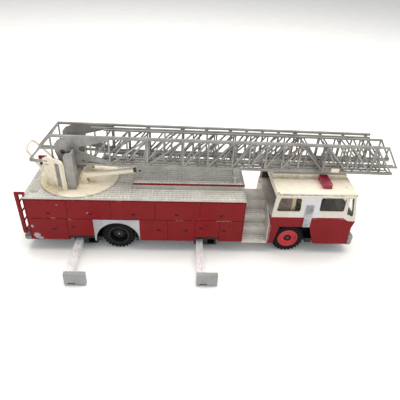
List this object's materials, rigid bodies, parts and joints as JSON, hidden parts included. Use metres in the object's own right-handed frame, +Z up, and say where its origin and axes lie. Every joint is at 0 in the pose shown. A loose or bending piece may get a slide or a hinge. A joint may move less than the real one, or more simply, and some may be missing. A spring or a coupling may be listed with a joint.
{
  "type": "toy fire engine",
  "caption": "Die-cast style toy fire engine with a slewing, rising and extending truss ladder, rolling wheels and sliding outriggers.",
  "frame": {"origin": "centre of the footprint at floor level, under the middle of the bounding box", "axes": "+X towards the cab, +Y to the vehicle's left side, +Z up"},
  "size_m": [0.2384, 0.113, 0.075],
  "materials": {
    "red_enamel": "gloss enamel on die-cast metal",
    "cream_enamel": "gloss enamel on die-cast metal",
    "tread_plate": "silver paint over cast tread pattern",
    "silver_panel": "satin silver paint",
    "ladder_grey": "moulded silver-grey plastic",
    "base_black": "moulded black plastic",
    "tyre_black": "moulded rubber with cross tread",
    "rim_red": "moulded red plastic",
    "steel_pin": "plain steel",
    "interior_brown": "moulded brown plastic",
    "seat_cream": "moulded cream plastic",
    "inside_grey": "moulded grey-green plastic",
    "clear_window": "clear moulded plastic",
    "beacon_red": "translucent raspberry-red plastic",
    "lamp_clear": "bright moulded plastic",
    "chrome_beam": "bright plated metal",
    "pad_grey": "moulded grey plastic"
  },
  "bodies": {
    "chassis": {"chassis_base": "base_black", "outrigger_guides": "base_black", "body_shell": "red_enamel", "door_handles": "base_black", "rear_arch_panels": "silver_panel", "deck_plate": "tread_plate", "raised_deck": "tread_plate", "deck_trim": "red_enamel", "deck_caps": "tread_plate", "ladder_rest": "tread_plate", "stair_unit": "tread_plate", "rear_step": "silver_panel", "rear_ladder": "red_enamel", "cab_lower": "red_enamel", "cab_upper": "cream_enamel", "cab_windows": "clear_window", "cab_roof": "cream_enamel", "roof_beacons": "beacon_red", "cab_side_strips": "tread_plate", "front_bumper": "silver_panel", "grille": "base_black", "headlamps": "lamp_clear", "cab_interior": "interior_brown", "cab_seats": "seat_cream", "dashboard": "inside_grey", "steering_wheel": "base_black"},
    "front_wheels": {"front_axle": "steel_pin", "front_rims": "rim_red", "front_tyres": "tyre_black"},
    "rear_wheels": {"rear_axle": "steel_pin", "rear_rims": "base_black", "rear_tyres": "tyre_black"},
    "turntable": {"turntable_disc": "cream_enamel", "turntable_spigot": "base_black", "pedestal_posts": "ladder_grey", "heel_yoke": "ladder_grey", "heel_pin": "steel_pin", "control_console": "cream_enamel", "guard_rail": "cream_enamel", "ram_brackets": "cream_enamel"},
    "ram_barrels": {"lift_barrels": "cream_enamel"},
    "ram_rods": {"lift_rods": "steel_pin"},
    "ladder_base": {"base_trusses": "ladder_grey", "base_rungs": "ladder_grey", "ladder_clips": "ladder_grey", "guide_blocks": "cream_enamel"},
    "ladder_mid": {"mid_trusses": "ladder_grey", "mid_rungs": "ladder_grey"},
    "ladder_fly": {"fly_trusses": "ladder_grey", "fly_rungs": "ladder_grey"},
    "outrigger_rear_right": {"outrigger_beam_rear_right": "chrome_beam", "jack_pad_rear_right": "pad_grey"},
    "outrigger_rear_left": {"outrigger_beam_rear_left": "chrome_beam", "jack_pad_rear_left": "pad_grey"},
    "outrigger_front_right": {"outrigger_beam_front_right": "chrome_beam", "jack_pad_front_right": "pad_grey"},
    "outrigger_front_left": {"outrigger_beam_front_left": "chrome_beam", "jack_pad_front_left": "pad_grey"}
  },
  "joints": [
    {"name": "front_wheels_spin", "type": "hinge", "parent": "chassis", "child": "front_wheels", "pos_m": [0.052, 0, 0.0105], "axis": [0, 1, 0], "continuous": true},
    {"name": "rear_wheels_spin", "type": "hinge", "parent": "chassis", "child": "rear_wheels", "pos_m": [-0.0591, 0, 0.0105], "axis": [0, 1, 0], "continuous": true},
    {"name": "turntable_slew", "type": "hinge", "parent": "chassis", "child": "turntable", "pos_m": [-0.0845, 0, 0.041], "axis": [0, 0, 1], "continuous": true},
    {"name": "ladder_raise", "type": "hinge", "parent": "turntable", "child": "ladder_base", "pos_m": [-0.09, 0, 0.0643], "axis": [0, -1, 0], "range_deg": [0, 55]},
    {"name": "mid_slide", "type": "slide", "parent": "ladder_base", "child": "ladder_mid", "axis": [0.9999, 0, -0.0122], "range_m": [0, 0.12]},
    {"name": "fly_slide", "type": "slide", "parent": "ladder_mid", "child": "ladder_fly", "axis": [0.9999, 0, -0.0122], "range_m": [0, 0.12]},
    {"name": "ram_turn", "type": "hinge", "parent": "turntable", "child": "ram_barrels", "pos_m": [-0.08, 0, 0.0466], "axis": [0, -1, 0], "range_deg": [0, 54.1]},
    {"name": "ram_extend", "type": "slide", "parent": "ram_barrels", "child": "ram_rods", "axis": [0.9873, 0, 0.1586], "range_m": [0, 0.01915]},
    {"name": "outrigger_rear_right_slide", "type": "slide", "parent": "chassis", "child": "outrigger_rear_right", "axis": [0, 1, 0], "range_m": [0, 0.028]},
    {"name": "outrigger_rear_left_slide", "type": "slide", "parent": "chassis", "child": "outrigger_rear_left", "axis": [0, -1, 0], "range_m": [0, 0.028]},
    {"name": "outrigger_front_right_slide", "type": "slide", "parent": "chassis", "child": "outrigger_front_right", "axis": [0, 1, 0], "range_m": [0, 0.028]},
    {"name": "outrigger_front_left_slide", "type": "slide", "parent": "chassis", "child": "outrigger_front_left", "axis": [0, -1, 0], "range_m": [0, 0.028]}
  ],
  "couplings": [
    {"joint": "ram_turn", "follows": "ladder_raise", "ratio": 0.9825},
    {"joint": "ram_extend", "follows": "ladder_raise", "m_per_rad": 0.0199}
  ]
}
